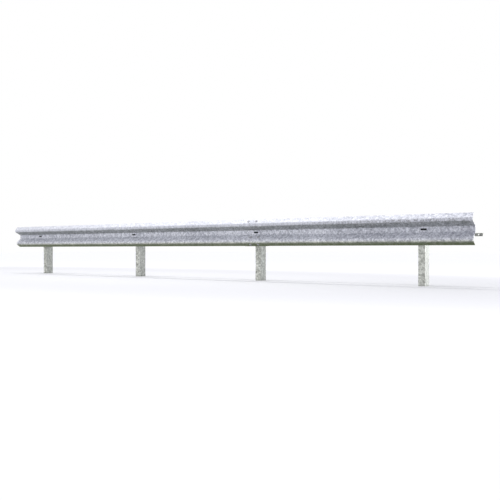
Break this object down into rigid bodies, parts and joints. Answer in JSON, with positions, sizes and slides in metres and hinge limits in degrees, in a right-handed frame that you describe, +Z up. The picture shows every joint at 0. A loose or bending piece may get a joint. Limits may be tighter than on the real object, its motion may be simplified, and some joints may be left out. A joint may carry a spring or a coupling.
{
  "type": "highway guardrail section",
  "caption": "Galvanised steel roadside guardrail length: lapped two-wave beam on spacers and driven channel posts, with a rear tie channel.",
  "frame": {"origin": "on the ground line, in the middle of the web of the first post", "axes": "+X along the road to the second post, -Y towards the traffic side of the beam, +Z up"},
  "size_m": [7, 0.4012, 0.7206],
  "materials": {
    "galvanised_beam": "hot-dip galvanised, dull spangle",
    "galvanised_post": "hot-dip galvanised, weathered grey",
    "galvanised_bracket": "hot-dip galvanised, matt grey",
    "galvanised_tie": "hot-dip galvanised, dark matt grey"
  },
  "bodies": {
    "root": {"rail_beam_left": "galvanised_beam", "rail_beam_right": "galvanised_beam", "post_1": "galvanised_post", "post_2": "galvanised_post", "post_3": "galvanised_post", "post_4": "galvanised_post", "spacer_1": "galvanised_bracket", "spacer_2": "galvanised_bracket", "spacer_3": "galvanised_bracket", "spacer_4": "galvanised_bracket", "rail_nut_plate_1": "galvanised_bracket", "rail_nut_plate_2": "galvanised_bracket", "rail_nut_plate_3": "galvanised_bracket", "rail_nut_plate_4": "galvanised_bracket", "rear_tie_left": "galvanised_tie", "rear_tie_right": "galvanised_tie", "rear_tie_joint": "galvanised_tie", "tie_clamp_plate_1": "galvanised_tie", "tie_clamp_plate_2": "galvanised_tie", "tie_clamp_plate_3": "galvanised_tie", "tie_clamp_plate_4": "galvanised_tie"}
  },
  "joints": []
}
